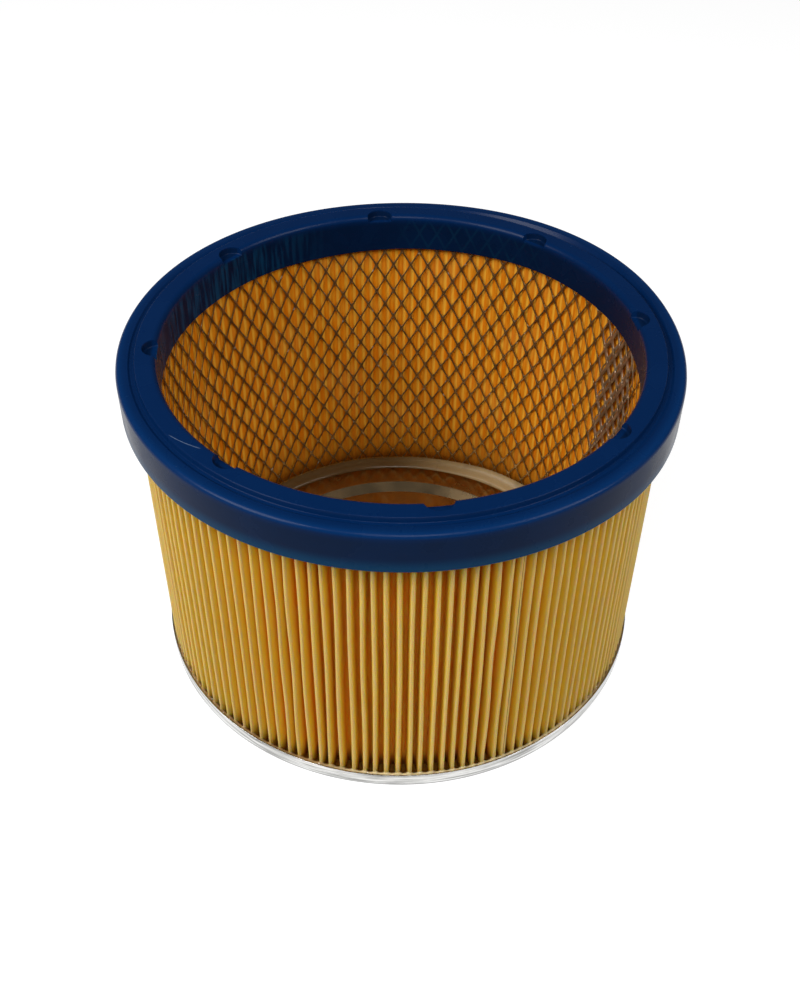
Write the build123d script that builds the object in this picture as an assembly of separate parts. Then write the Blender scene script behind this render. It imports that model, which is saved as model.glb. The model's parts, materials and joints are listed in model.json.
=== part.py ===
from build123d import *
import math
import os

# Cartridge filter for a wet-and-dry vacuum cleaner, standing on its closed end.
# Millimetres, +Z up along the axis, origin at the centre of the end cap's underside.

# Radial build-up, from the bore outwards
bore_r = 79.5
collar_wall = 0.7
mesh_wall = 0.8
pleat_depth = 6.8
skirt_wall = 4.4
fit_gap = 0.1

# Heights
media_height = 119.0
ring_roof = 3.5
ring_depth = 15.0
rim_height = 5.1
potting_floor = 1.0
dam_height = 2.9

# Seal ring: outer lip, groove, edges and the pockets in the bore's top edge
lip_width = 4.0
lip_drop = 1.2
lip_round = 1.6
groove_width = 2.2
groove_depth = 0.5
groove_slope = 0.5
groove_round = 0.25
skirt_round = 0.8
bore_round = 2.0
collar_round = 0.3
pocket_count = 8
pocket_r = 4.7
pocket_depth = 2.6
pocket_phase = 7.1

# Filter paper and its folds
pleat_count = 152
paper = 0.6
fold_gap = 0.2
fold_round = 0.4

# Expanded metal: diamonds in staggered rows, plain towards both ends
mesh_columns = 23
mesh_rows = 4
mesh_strand = 2.0
mesh_margin = 3.0

# Pressed pan: sheet, bends and the raised bead around its middle
sheet = 0.5
bend_r = 0.5
bead_height = 2.6
bead_width = 9.5
bead_slope = 4.0
dam_width = 5.1

# Radii worked out from the build-up
mesh_inner_r = bore_r + collar_wall + fit_gap
mesh_outer_r = mesh_inner_r + mesh_wall
media_inner_r = mesh_outer_r + fit_gap
media_outer_r = media_inner_r + pleat_depth
socket_inner_r = bore_r + collar_wall
socket_outer_r = media_outer_r + fit_gap
ring_outer_r = socket_outer_r + skirt_wall
rim_outer_r = media_outer_r + fit_gap + sheet
dam_outer_r = mesh_inner_r - fit_gap
dam_inner_r = dam_outer_r - dam_width
bead_outer_r = dam_inner_r - fit_gap
bead_inner_r = bead_outer_r - bead_width
bead_foot_r = bead_inner_r - bead_slope

# Levels worked out from the heights
media_bottom = sheet + potting_floor
media_top = media_bottom + media_height
ring_top = media_top + ring_roof
ring_bottom = ring_top - ring_depth
dam_top = sheet + dam_height


def turned(corners):
    """Solid of revolution about Z from corners of (radius, height, rounding)."""
    with BuildPart() as body:
        with BuildSketch(Plane.XZ):
            with BuildLine():
                FilletPolyline(
                    [(radius, height) for radius, height, rounding in corners],
                    radius=[rounding for radius, height, rounding in corners],
                    close=True,
                )
            make_face()
        revolve(axis=Axis.Z)
    return body.part


def seal_ring():
    """Moulded open end: raised flat, groove and lip on top, outer skirt, inner collar and pleat socket."""
    groove_outer_r = ring_outer_r - lip_width
    groove_inner_r = groove_outer_r - groove_width
    lip_top = ring_top - lip_drop
    groove_floor = lip_top - groove_depth
    body = turned([
        (bore_r, ring_bottom, collar_round),
        (socket_inner_r, ring_bottom, 0),
        (socket_inner_r, media_top, 0),
        (socket_outer_r, media_top, 0),
        (socket_outer_r, ring_bottom, 0),
        (ring_outer_r, ring_bottom, skirt_round),
        (ring_outer_r, lip_top, lip_round),
        (groove_outer_r, lip_top, groove_round),
        (groove_outer_r - groove_slope, groove_floor, groove_round),
        (groove_inner_r + groove_slope, groove_floor, groove_round),
        (groove_inner_r, ring_top, groove_round),
        (bore_r, ring_top, bore_round),
    ])
    pocket = Cylinder(pocket_r, pocket_depth, align=(Align.CENTER, Align.CENTER, Align.MAX))
    places = PolarLocations(bore_r, pocket_count, start_angle=pocket_phase)
    pockets = [Pos(0, 0, ring_top) * place * pocket for place in places]
    return body - pockets


def on_line(point, turn):
    """Point given as (distance along, offset across) a radial line at the angle turn."""
    along, across = point
    return (
        along * math.cos(turn) - across * math.sin(turn),
        along * math.sin(turn) + across * math.cos(turn),
    )


def folded_loop(on_crest, between_crests):
    """Closed outline of all the pleats, from corners on a crest's line and on the line half a pitch on."""
    half_pitch = math.pi / pleat_count
    corners = []
    for index in range(pleat_count):
        turn = 2 * half_pitch * index
        corners += [on_line(point, turn) for point in on_crest]
        corners += [on_line(point, turn + half_pitch) for point in between_crests]
    return Wire.make_polygon(corners)


def pleated_media():
    """Filter paper folded into a closed ring of pleats, standing on the potting."""
    half_fold = paper + fold_gap / 2
    half_gap = fold_gap / 2
    shoulder_r = media_outer_r - fold_round
    slot_r = media_inner_r + paper
    valley_r = media_outer_r - paper
    outside = folded_loop(
        on_crest=[
            (shoulder_r, -half_fold),
            (media_outer_r, fold_round - half_fold),
            (media_outer_r, half_fold - fold_round),
            (shoulder_r, half_fold),
        ],
        between_crests=[(slot_r, -half_gap), (slot_r, half_gap)],
    )
    inside = folded_loop(
        on_crest=[(valley_r, -half_gap), (valley_r, half_gap)],
        between_crests=[(media_inner_r, -half_fold), (media_inner_r, half_fold)],
    )
    return Pos(0, 0, media_bottom) * extrude(Face(outside, [inside]), media_height, dir=(0, 0, 1))


def support_mesh():
    """Expanded-metal tube inside the pleats, its ends held in the seal ring and the potting."""
    outer = Cylinder(mesh_outer_r, media_height, align=(Align.CENTER, Align.CENTER, Align.MIN))
    inner = Cylinder(mesh_inner_r, media_height, align=(Align.CENTER, Align.CENTER, Align.MIN))
    tube = Pos(0, 0, media_bottom) * (outer - inner)

    open_bottom = media_bottom + mesh_margin
    open_top = media_top - mesh_margin
    half_width = math.pi * mesh_inner_r / mesh_columns
    half_height = (open_top - open_bottom) / (mesh_rows + 1)
    side_distance = half_width * half_height / math.hypot(half_width, half_height)
    share = 1 - mesh_strand / 2 / side_distance
    tip_x = half_width * share
    tip_y = half_height * share
    diamond = Polygon((tip_x, 0), (0, tip_y), (-tip_x, 0), (0, -tip_y), align=None)

    gaps = []
    for row in range(mesh_rows):
        height = open_bottom + half_height * (row + 1)
        for column in range(mesh_columns):
            turn = 2 * math.pi * (column + row % 2 / 2) / mesh_columns
            outwards = Vector(math.cos(turn), math.sin(turn), 0)
            across = Vector(-math.sin(turn), math.cos(turn), 0)
            start = outwards * (mesh_inner_r - pleat_depth) + Vector(0, 0, height)
            gaps.append(extrude(Plane(start, x_dir=across, z_dir=outwards) * diamond, 2 * pleat_depth))
    return tube - gaps


def end_cap():
    """Pressed pan: flat middle, raised bead, channel for the potting and an upright rim."""
    bead_top = bead_height + sheet
    outside_bend = bend_r + sheet
    return turned([
        (0, 0, 0),
        (bead_foot_r, 0, outside_bend),
        (bead_inner_r, bead_height, bend_r),
        (bead_outer_r - sheet, bead_height, bend_r),
        (bead_outer_r - sheet, 0, outside_bend),
        (rim_outer_r, 0, outside_bend),
        (rim_outer_r, rim_height, 0),
        (rim_outer_r - sheet, rim_height, 0),
        (rim_outer_r - sheet, sheet, bend_r),
        (bead_outer_r, sheet, bend_r),
        (bead_outer_r, bead_top, outside_bend),
        (bead_inner_r, bead_top, outside_bend),
        (bead_foot_r, sheet, bend_r),
        (0, sheet, 0),
    ])


def potting_ring():
    """Cast adhesive in the pan's channel: a floor under the pleats and a dam inside the mesh."""
    return turned([
        (dam_inner_r, sheet, bend_r),
        (media_outer_r, sheet, bend_r),
        (media_outer_r, media_bottom, 0),
        (dam_outer_r, media_bottom, 0),
        (dam_outer_r, dam_top, 0),
        (dam_inner_r, dam_top, bend_r),
    ])


pieces = {
    "seal_ring": seal_ring(),
    "pleated_media": pleated_media(),
    "support_mesh": support_mesh(),
    "end_cap": end_cap(),
    "potting_ring": potting_ring(),
}

os.makedirs("parts", exist_ok=True)
for name, piece in pieces.items():
    piece.label = name
    export_step(piece, f"parts/{name}.step")
    box = piece.bounding_box()
    print(name, "volume", round(piece.volume, 1), "height", round(box.min.Z, 3), "to", round(box.max.Z, 3))
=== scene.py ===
"""Dressed model of a pleated cartridge filter: seal ring, paper, expanded metal, pan and potting."""

import bisect
import json
import logging
import math
import random
from dataclasses import dataclass, field
from enum import Enum
from typing import Any, Optional, Sequence, Union

import bmesh
import bpy
from mathutils import Matrix, Vector


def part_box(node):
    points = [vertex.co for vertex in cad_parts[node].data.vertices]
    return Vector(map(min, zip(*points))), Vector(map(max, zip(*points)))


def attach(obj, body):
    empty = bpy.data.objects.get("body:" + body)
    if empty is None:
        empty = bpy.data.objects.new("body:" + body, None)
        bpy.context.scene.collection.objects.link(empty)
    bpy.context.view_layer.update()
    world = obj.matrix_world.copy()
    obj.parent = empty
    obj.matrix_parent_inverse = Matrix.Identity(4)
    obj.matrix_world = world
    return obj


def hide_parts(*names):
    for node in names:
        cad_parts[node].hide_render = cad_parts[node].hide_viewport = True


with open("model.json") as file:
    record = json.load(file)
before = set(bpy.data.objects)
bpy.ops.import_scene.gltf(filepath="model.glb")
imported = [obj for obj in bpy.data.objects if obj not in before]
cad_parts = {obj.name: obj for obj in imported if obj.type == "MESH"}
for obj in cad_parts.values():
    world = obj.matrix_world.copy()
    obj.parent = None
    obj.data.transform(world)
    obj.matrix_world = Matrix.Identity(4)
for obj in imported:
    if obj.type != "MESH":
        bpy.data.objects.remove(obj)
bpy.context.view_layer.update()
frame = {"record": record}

LOG = logging.getLogger("cartridge_filter")
MM = 0.001
TAU = 2 * math.pi
BODY = "root"
GLUE = "glue"
MOUTH = "mouth"
MESH_COLUMNS = 76

Colour = tuple[float, float, float, float]
Socket = bpy.types.NodeSocket
Value = Union[float, Socket]
Corner = tuple[float, float, float]


def rgb(red: float, green: float, blue: float) -> Colour:
    """Opaque colour in linear light."""
    return (red, green, blue, 1.0)


class Node(Enum):
    """CAD nodes that the dressed pieces stand for."""

    SEAL_RING = "seal_ring"
    MEDIA = "pleated_media"
    MESH = "support_mesh"
    END_CAP = "end_cap"
    POTTING = "potting_ring"


class Slot(Enum):
    """Material slots of the record."""

    ELASTOMER = "seal_elastomer"
    PAPER = "filter_paper"
    EXPANDED = "expanded_metal"
    PAN = "pan_metal"
    RESIN = "potting_resin"


class ShaderSheet:
    """Node tree of one material, with short calls for the nodes that the finishes share."""

    def __init__(self, name: str) -> None:
        """Starts an empty tree that ends in a Principled shader.

        Args:
            name: Name of the material.
        """
        self.material = bpy.data.materials.new(name)
        self.material.use_nodes = True
        self.tree = self.material.node_tree
        self.tree.nodes.clear()
        self.output = self.tree.nodes.new("ShaderNodeOutputMaterial")
        self.shader = self.tree.nodes.new("ShaderNodeBsdfPrincipled")
        self.link(self.shader.outputs["BSDF"], self.output.inputs["Surface"])
        self._place: Optional[bpy.types.Node] = None

    def link(self, source: Socket, target: Socket) -> None:
        """Joins an output to an input."""
        self.tree.links.new(source, target)

    def feed(self, target: Socket, value: Any) -> None:
        """Links a socket to an input, or sets the input to a constant.

        Args:
            target: Input to fill.
            value: Socket, number, colour or vector.
        """
        if isinstance(value, bpy.types.NodeSocket):
            self.link(value, target)
        else:
            target.default_value = value

    def set(self, **values: Any) -> None:
        """Fills inputs of the Principled shader.

        Args:
            values: Value of each input, its name written with underscores for spaces.
        """
        for name, value in values.items():
            words = " ".join(part if part.isupper() else part.capitalize() for part in name.split("_"))
            self.feed(self.shader.inputs[words], value)

    @property
    def place(self) -> Socket:
        """Object coordinates, in metres."""
        if self._place is None:
            self._place = self.tree.nodes.new("ShaderNodeTexCoord")
        return self._place.outputs["Object"]

    def attribute(self, name: str) -> Socket:
        """Reads a number stored on the mesh.

        Args:
            name: Name of the attribute.

        Returns:
            Its value, 0 where there is none.
        """
        node = self.tree.nodes.new("ShaderNodeAttribute")
        node.attribute_name = name
        return node.outputs["Fac"]

    def split(self, vector: Socket) -> tuple[Socket, Socket, Socket]:
        """Takes a vector apart.

        Args:
            vector: Vector to split.

        Returns:
            Its X, Y and Z.
        """
        node = self.tree.nodes.new("ShaderNodeSeparateXYZ")
        self.link(vector, node.inputs[0])
        return node.outputs[0], node.outputs[1], node.outputs[2]

    def reach(self, x: Socket, y: Socket) -> Socket:
        """Distance from the axis."""
        return self.calc("SQRT", self.calc("ADD", self.calc("MULTIPLY", x, x), self.calc("MULTIPLY", y, y)))

    def facing(self, turn: Socket, towards: float) -> Socket:
        """Cosine of the angle about the axis from a given direction."""
        return self.calc("COSINE", self.calc("SUBTRACT", turn, towards))

    def both(self, *masks: Socket) -> Socket:
        """Multiplies masks.

        Args:
            masks: Masks between 0 and 1.

        Returns:
            Their product.
        """
        product = masks[0]
        for mask in masks[1:]:
            product = self.calc("MULTIPLY", product, mask)
        return product

    def join(self, x: Value, y: Value, z: Value) -> Socket:
        """Makes a vector from three numbers.

        Args:
            x: First number.
            y: Second number.
            z: Third number.

        Returns:
            The vector.
        """
        node = self.tree.nodes.new("ShaderNodeCombineXYZ")
        for target, value in zip(node.inputs, (x, y, z)):
            self.feed(target, value)
        return node.outputs[0]

    def calc(self, operation: str, *values: Value) -> Socket:
        """One Math node.

        Args:
            operation: Blender's name of the operation.
            values: Operands, as sockets or numbers.

        Returns:
            The node's result.
        """
        node = self.tree.nodes.new("ShaderNodeMath")
        node.operation = operation
        for target, value in zip(node.inputs, values):
            self.feed(target, value)
        return node.outputs[0]

    def span(self, value: Value, low: float, high: float, start: float = 0.0, end: float = 1.0) -> Socket:
        """Smooth step of a value from low to high.

        Args:
            value: Number to map.
            low: Value that gives start.
            high: Value that gives end.
            start: Result at low.
            end: Result at high.

        Returns:
            The mapped number.
        """
        node = self.tree.nodes.new("ShaderNodeMapRange")
        node.interpolation_type = "SMOOTHSTEP"
        names = ("Value", "From Min", "From Max", "To Min", "To Max")
        for name, given in zip(names, (value, low, high, start, end)):
            self.feed(node.inputs[name], given)
        return node.outputs["Result"]

    def noise(self, vector: Socket, scale: float, detail: float = 3.0, rough: float = 0.55) -> Socket:
        """Noise around 0.5.

        Args:
            vector: Coordinates that the noise is laid out on.
            scale: Cells for each unit of the vector.
            detail: Number of finer layers.
            rough: Weight of the finer layers.

        Returns:
            The noise.
        """
        node = self.tree.nodes.new("ShaderNodeTexNoise")
        self.link(vector, node.inputs["Vector"])
        node.inputs["Scale"].default_value = scale
        node.inputs["Detail"].default_value = detail
        node.inputs["Roughness"].default_value = rough
        return node.outputs["Fac"]

    def specks(self, vector: Socket, scale: float, size: float, share: float) -> Socket:
        """Sparse round specks: 1 inside a speck, 0 elsewhere.

        Args:
            vector: Coordinates that the cells are laid out on.
            scale: Cells for each unit of the vector.
            size: Speck radius as a share of a cell.
            share: Share of the cells that hold a speck.

        Returns:
            The mask.
        """
        cells = self.tree.nodes.new("ShaderNodeTexVoronoi")
        self.link(vector, cells.inputs["Vector"])
        cells.inputs["Scale"].default_value = scale
        near = self.span(cells.outputs["Distance"], size, size * 0.4)
        red, _, _ = self.split(cells.outputs["Color"])
        chosen = self.calc("LESS_THAN", red, share)
        return self.calc("MULTIPLY", near, chosen)

    def mix(self, share: Value, first: Any, second: Any) -> Socket:
        """Colour between two colours.

        Args:
            share: Share of the second colour.
            first: Colour at 0.
            second: Colour at 1.

        Returns:
            The mixed colour.
        """
        node = self.tree.nodes.new("ShaderNodeMix")
        node.data_type = "RGBA"
        self.feed(node.inputs[0], share)
        self.feed(node.inputs[6], first)
        self.feed(node.inputs[7], second)
        return node.outputs[2]

    def bump(self, height: Socket, distance: float, strength: float = 1.0) -> None:
        """Feeds a relief to the shader's normal.

        Args:
            height: Relief, between 0 and 1.
            distance: Its depth in metres.
            strength: Share of it that shows.
        """
        node = self.tree.nodes.new("ShaderNodeBump")
        node.inputs["Strength"].default_value = strength
        node.inputs["Distance"].default_value = distance
        self.link(height, node.inputs["Height"])
        self.link(node.outputs["Normal"], self.shader.inputs["Normal"])


@dataclass(frozen=True)
class ElastomerFinish:
    """Glossy dark blue moulding, almost black inside the bore, paler where it is thin as a painted glow of
    light through it, with a painted highlight on the rounded lip and painted shade on the outer side and in
    the pockets.
    """

    outer_r: float
    bore_r: float
    top: float
    bottom: float
    lip_top: float
    body: Colour = rgb(0.0009, 0.0143, 0.065)
    # painted highlight: paler blue where the rounded outer lip catches light; also used for random paler
    # patches
    edge: Colour = rgb(0.0014, 0.0215, 0.091)
    # painted shade: darker blue down the ring's outer side below the lip
    shaded_skirt: Colour = rgb(0.0014, 0.0110, 0.041)
    # painted light: paler teal glow through the thin foot of the ring's outer side
    thin: Colour = rgb(0.0026, 0.0380, 0.098)
    # near-black: painted shade on the pocket walls, and the colour of the bore wall
    pocket_shade_and_bore_dark: Colour = rgb(0.0016, 0.0085, 0.031)
    ghost: Colour = rgb(0.0024, 0.0160, 0.042)
    teal: Colour = rgb(0.0030, 0.0380, 0.095)
    dust: Colour = rgb(0.26, 0.34, 0.46)
    columns: int = MESH_COLUMNS
    diamond: float = 11.7 * MM
    ghost_turn: float = math.radians(70)
    teal_turn: float = math.radians(170)
    ghost_spread: float = math.radians(24)
    scratch_start: tuple[float, float] = (-68.6 * MM, -51.6 * MM)
    scratch_end: tuple[float, float] = (-57.8 * MM, -58.0 * MM)

    def mesh_ghost(self, sheet: ShaderSheet, x: Socket, y: Socket, z: Socket) -> Socket:
        """Expanded metal showing faintly through the thin collar.

        Args:
            sheet: Node tree to add to.
            x: Position along X.
            y: Position along Y.
            z: Height.

        Returns:
            Mask of the strands, between 0 and 1.
        """
        turn = sheet.calc("ARCTAN2", y, x)
        along = sheet.calc("MULTIPLY", turn, self.columns / TAU)
        up = sheet.calc("DIVIDE", z, self.diamond)
        strands = []
        for slant in ("ADD", "SUBTRACT"):
            lean = sheet.calc(slant, along, up)
            centred = sheet.calc("PINGPONG", lean, 0.5)
            strands.append(sheet.span(centred, 0.11, 0.03))
        both = sheet.calc("MAXIMUM", *strands)
        near = sheet.facing(turn, self.ghost_turn)
        patch = sheet.span(near, math.cos(self.ghost_spread), math.cos(self.ghost_spread / 2))
        uneven = sheet.span(sheet.noise(sheet.place, 90.0, 2.0), 0.35, 0.60, 0.25, 1.0)
        return sheet.both(both, patch, uneven)

    def scratch(self, sheet: ShaderSheet, x: Socket, y: Socket) -> Socket:
        """One fine scratch across the ring's top.

        Args:
            sheet: Node tree to add to.
            x: Position along X.
            y: Position along Y.

        Returns:
            Mask of the scratch, between 0 and 1.
        """
        start = Vector(self.scratch_start)
        run = Vector(self.scratch_end) - start
        ahead = run.normalized()
        from_x = sheet.calc("SUBTRACT", x, start.x)
        from_y = sheet.calc("SUBTRACT", y, start.y)
        along = sheet.calc(
            "ADD", sheet.calc("MULTIPLY", from_x, ahead.x), sheet.calc("MULTIPLY", from_y, ahead.y),
        )
        across = sheet.calc(
            "SUBTRACT", sheet.calc("MULTIPLY", from_y, ahead.x), sheet.calc("MULTIPLY", from_x, ahead.y),
        )
        bow = sheet.calc("SINE", sheet.calc("MULTIPLY", along, math.pi / run.length))
        off = sheet.calc("ABSOLUTE", sheet.calc("ADD", across, sheet.calc("MULTIPLY", bow, 0.5 * MM)))
        line = sheet.span(off, 0.12 * MM, 0.03 * MM)
        half = run.length / 2
        from_middle = sheet.calc("ABSOLUTE", sheet.calc("SUBTRACT", along, half))
        ends = sheet.span(from_middle, half, half - 1.5 * MM)
        return sheet.calc("MULTIPLY", line, ends)

    def build(self) -> bpy.types.Material:
        """Makes the material.

        Returns:
            The finished material.
        """
        sheet = ShaderSheet("seal_elastomer")
        x, y, z = sheet.split(sheet.place)
        radius = sheet.reach(x, y)
        cloud = sheet.noise(sheet.place, 60.0, 4.0)
        lip = sheet.span(radius, self.outer_r - 3.4 * MM, self.outer_r - 0.6 * MM)
        upper = sheet.span(z, self.lip_top - 1.8 * MM, self.lip_top - 0.6 * MM)
        skirt_foot = sheet.span(z, self.bottom + 5.0 * MM, self.bottom + 0.3 * MM)
        outside = sheet.span(radius, self.outer_r - 2.0 * MM, self.outer_r - 0.9 * MM)
        side = sheet.span(z, self.lip_top - 0.8 * MM, self.lip_top - 3.5 * MM)
        # painted highlight on the rounded outer lip
        colour = sheet.mix(sheet.both(lip, upper), self.body, self.edge)
        # painted shade down the ring's outer side
        colour = sheet.mix(sheet.both(side, outside), colour, self.shaded_skirt)
        # painted light: glow through the thin foot
        colour = sheet.mix(sheet.both(skirt_foot, outside), colour, self.thin)
        # painted shade: near-black on the outer walls of the pockets
        pocket = sheet.both(
            sheet.span(z, self.top - 0.2 * MM, self.top - 0.6 * MM),
            sheet.span(radius, self.bore_r + 1.6 * MM, self.bore_r + 2.1 * MM),
            sheet.span(radius, self.bore_r + 6.0 * MM, self.bore_r + 5.5 * MM),
        )
        colour = sheet.mix(sheet.calc("MULTIPLY", pocket, 0.8), colour, self.pocket_shade_and_bore_dark)
        collar = sheet.calc(
            "MULTIPLY",
            sheet.span(radius, self.bore_r + 1.0 * MM, self.bore_r + 0.2 * MM),
            sheet.span(z, self.top - 1.0 * MM, self.top - 4.0 * MM),
        )
        upright = sheet.noise(sheet.join(x, y, sheet.calc("MULTIPLY", z, 0.1)), 700.0, 2.0)
        left = sheet.span(sheet.facing(sheet.calc("ARCTAN2", y, x), self.teal_turn), 0.45, 0.9)
        inner = sheet.mix(sheet.both(left, sheet.span(upright, 0.4, 0.65)), self.pocket_shade_and_bore_dark, self.teal)
        inner = sheet.mix(self.mesh_ghost(sheet, x, y, z), inner, self.ghost)
        colour = sheet.mix(collar, colour, inner)
        colour = sheet.mix(sheet.span(cloud, 0.35, 0.75, 0.0, 0.15), colour, self.edge)
        above = sheet.span(z, self.lip_top - 2.2 * MM, self.lip_top - 1.8 * MM)
        dust = sheet.both(above, sheet.specks(sheet.place, 170.0, 0.045, 0.07))
        flecks = sheet.calc("MAXIMUM", dust, sheet.calc("MULTIPLY", self.scratch(sheet, x, y), 0.75))
        colour = sheet.mix(sheet.calc("MULTIPLY", flecks, 0.7), colour, self.dust)
        sheet.set(
            Base_Color=colour,
            Roughness=sheet.span(cloud, 0.25, 0.8, 0.20, 0.34),
            Specular_IOR_Level=sheet.span(z, self.lip_top - 1.6 * MM, self.lip_top - 0.4 * MM, 0.04, 0.09),
        )
        sheet.bump(sheet.noise(sheet.place, 420.0, 2.0), 0.012 * MM, 0.6)
        return sheet.material


@dataclass(frozen=True)
class PaperFinish:
    """Impregnated yellow filter paper, with a painted highlight on the fold ridges and a darker orange down
    the slots that is painted shade and bounce light.
    """

    name: str
    outer_r: float
    inner_r: float
    bottom: float
    glow: float
    shine: float
    darkening_height: float
    low_darkening: float
    # painted highlight on the outer fold ridges, also the colour of random paler blotches
    pale_tone_and_ridge_highlight: Colour = rgb(0.70, 0.49, 0.155)
    flank: Colour = rgb(0.87, 0.57, 0.043)
    # painted shade and bounce light: darker, saturated orange further down the slots
    slot_shade_and_bounce: Colour = rgb(0.80, 0.27, 0.004)
    # painted bounce light: saturated orange on the roots of the inner wall
    root: Colour = rgb(0.66, 0.175, 0.002)
    # painted glow: yellow of light through the paper at the fold mouths
    mouth: Colour = rgb(0.80, 0.365, 0.030)
    glue: Colour = rgb(0.16, 0.075, 0.014)
    # darker brown low down in the slots and on the inner wall
    low_brown: Colour = rgb(0.42, 0.150, 0.008)

    def build(self) -> bpy.types.Material:
        """Makes the material.

        Returns:
            The finished material.
        """
        sheet = ShaderSheet(self.name)
        x, y, z = sheet.split(sheet.place)
        radius = sheet.reach(x, y)
        outer_ridge = sheet.span(radius, self.outer_r - 1.2 * MM, self.outer_r - 0.3 * MM)
        inside = sheet.span(radius, self.inner_r + 0.62 * MM, self.inner_r + 0.56 * MM)
        wall = sheet.mix(sheet.span(sheet.attribute(MOUTH), 0.5, 0.95), self.root, self.mouth)
        depth = sheet.span(radius, self.outer_r - 1.0 * MM, self.outer_r - 4.5 * MM)
        streaks = sheet.noise(sheet.join(x, y, sheet.calc("MULTIPLY", z, 0.12)), 900.0, 3.0)
        blotch = sheet.noise(sheet.place, 45.0, 3.0)
        # painted shade and bounce light further down the slots
        colour = sheet.mix(depth, self.flank, self.slot_shade_and_bounce)
        # painted light on the inner wall: orange roots, yellow glow at the mouths
        colour = sheet.mix(inside, colour, wall)
        # painted highlight along the outer fold ridges
        colour = sheet.mix(outer_ridge, colour, self.pale_tone_and_ridge_highlight)
        colour = sheet.mix(sheet.span(streaks, 0.35, 0.7, 0.0, 0.22), colour, self.flank)
        colour = sheet.mix(sheet.span(blotch, 0.45, 0.75, 0.0, 0.08), colour, self.pale_tone_and_ridge_highlight)
        # darker brown towards the bottom, inside the slots
        low_dark_mask = sheet.span(z, self.bottom + self.darkening_height, self.bottom + 3.0 * MM, 0.0, self.low_darkening)
        behind = sheet.span(radius, self.outer_r - 1.4 * MM, self.outer_r - 4.0 * MM)
        colour = sheet.mix(sheet.both(low_dark_mask, behind), colour, self.low_brown)
        colour = sheet.mix(sheet.span(sheet.attribute(GLUE), 0.35, 0.80), colour, self.glue)
        sheet.set(
            Base_Color=colour,
            Roughness=0.72,
            Specular_IOR_Level=self.shine,
            Subsurface_Weight=self.glow,
            Subsurface_Radius=(1.0, 0.5, 0.1),
            Subsurface_Scale=0.8 * MM,
        )
        grain = sheet.noise(sheet.place, 1600.0, 3.0)
        fibres = sheet.calc("ADD", grain, sheet.calc("MULTIPLY", streaks, 0.6))
        sheet.bump(fibres, 0.05 * MM, 0.7)
        return sheet.material


@dataclass(frozen=True)
class ExpandedMetalFinish:
    """Dull galvanised strands with a brown film and painted glints in small light spots."""

    name: str = "expanded_metal"
    zinc: Colour = rgb(0.41, 0.29, 0.14)
    film: Colour = rgb(0.22, 0.135, 0.045)
    # painted glints: light spots standing in for reflections
    glint_colour: Colour = rgb(0.84, 0.80, 0.72)
    glint_share: float = 0.22

    def build(self) -> bpy.types.Material:
        """Makes the material.

        Returns:
            The finished material.
        """
        sheet = ShaderSheet(self.name)
        blotch = sheet.noise(sheet.place, 260.0, 4.0)
        colour = sheet.mix(sheet.span(blotch, 0.35, 0.65), self.zinc, self.film)
        glint_spots = sheet.specks(sheet.place, 330.0, 0.30, self.glint_share)
        # painted glints
        colour = sheet.mix(sheet.calc("MULTIPLY", glint_spots, 0.8), colour, self.glint_colour)
        sheet.set(Base_Color=colour, Metallic=0.9, Roughness=sheet.span(blotch, 0.3, 0.7, 0.30, 0.52))
        sheet.bump(sheet.noise(sheet.place, 2400.0, 2.0), 0.02 * MM, 0.5)
        return sheet.material


@dataclass(frozen=True)
class PanFinish:
    """Bright tinned sheet, streaked round its rim, with a painted contact shadow at the foot of the rim, and
    covered with a brown film on the inside.
    """

    outer_r: float
    tin: Colour = rgb(0.70, 0.70, 0.69)
    dull: Colour = rgb(0.27, 0.27, 0.26)
    # painted shadow: dark band where the rim meets the floor
    line: Colour = rgb(0.10, 0.10, 0.097)
    film: Colour = rgb(0.39, 0.275, 0.150)
    stain: Colour = rgb(0.26, 0.17, 0.08)

    def build(self) -> bpy.types.Material:
        """Makes the material.

        Returns:
            The finished material.
        """
        sheet = ShaderSheet("pan_metal")
        x, y, z = sheet.split(sheet.place)
        radius = sheet.reach(x, y)
        turn = sheet.calc("ARCTAN2", y, x)
        along = sheet.join(sheet.calc("MULTIPLY", turn, 4.0), sheet.calc("MULTIPLY", z, 800.0), 0.0)
        streaks = sheet.noise(along, 1.0, 5.0, 0.62)
        patch = sheet.noise(sheet.place, 55.0, 4.0)
        rim = sheet.span(radius, self.outer_r - 0.7 * MM, self.outer_r - 0.2 * MM)
        outside = sheet.mix(sheet.span(streaks, 0.38, 0.66), self.tin, self.dull)
        # painted contact shadow along the foot of the rim
        outside = sheet.mix(sheet.span(z, 1.25 * MM, 0.85 * MM), outside, self.line)
        inside = sheet.mix(sheet.span(patch, 0.42, 0.70, 0.0, 0.6), self.film, self.stain)
        below = sheet.span(z, 0.25 * MM, 0.15 * MM)
        inside = sheet.mix(below, inside, self.tin)
        sheet.set(
            Base_Color=sheet.mix(rim, inside, outside),
            Metallic=1.0,
            Roughness=sheet.span(patch, 0.3, 0.75, 0.14, 0.30),
        )
        sheet.bump(streaks, 0.02 * MM, 0.5)
        return sheet.material


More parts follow.
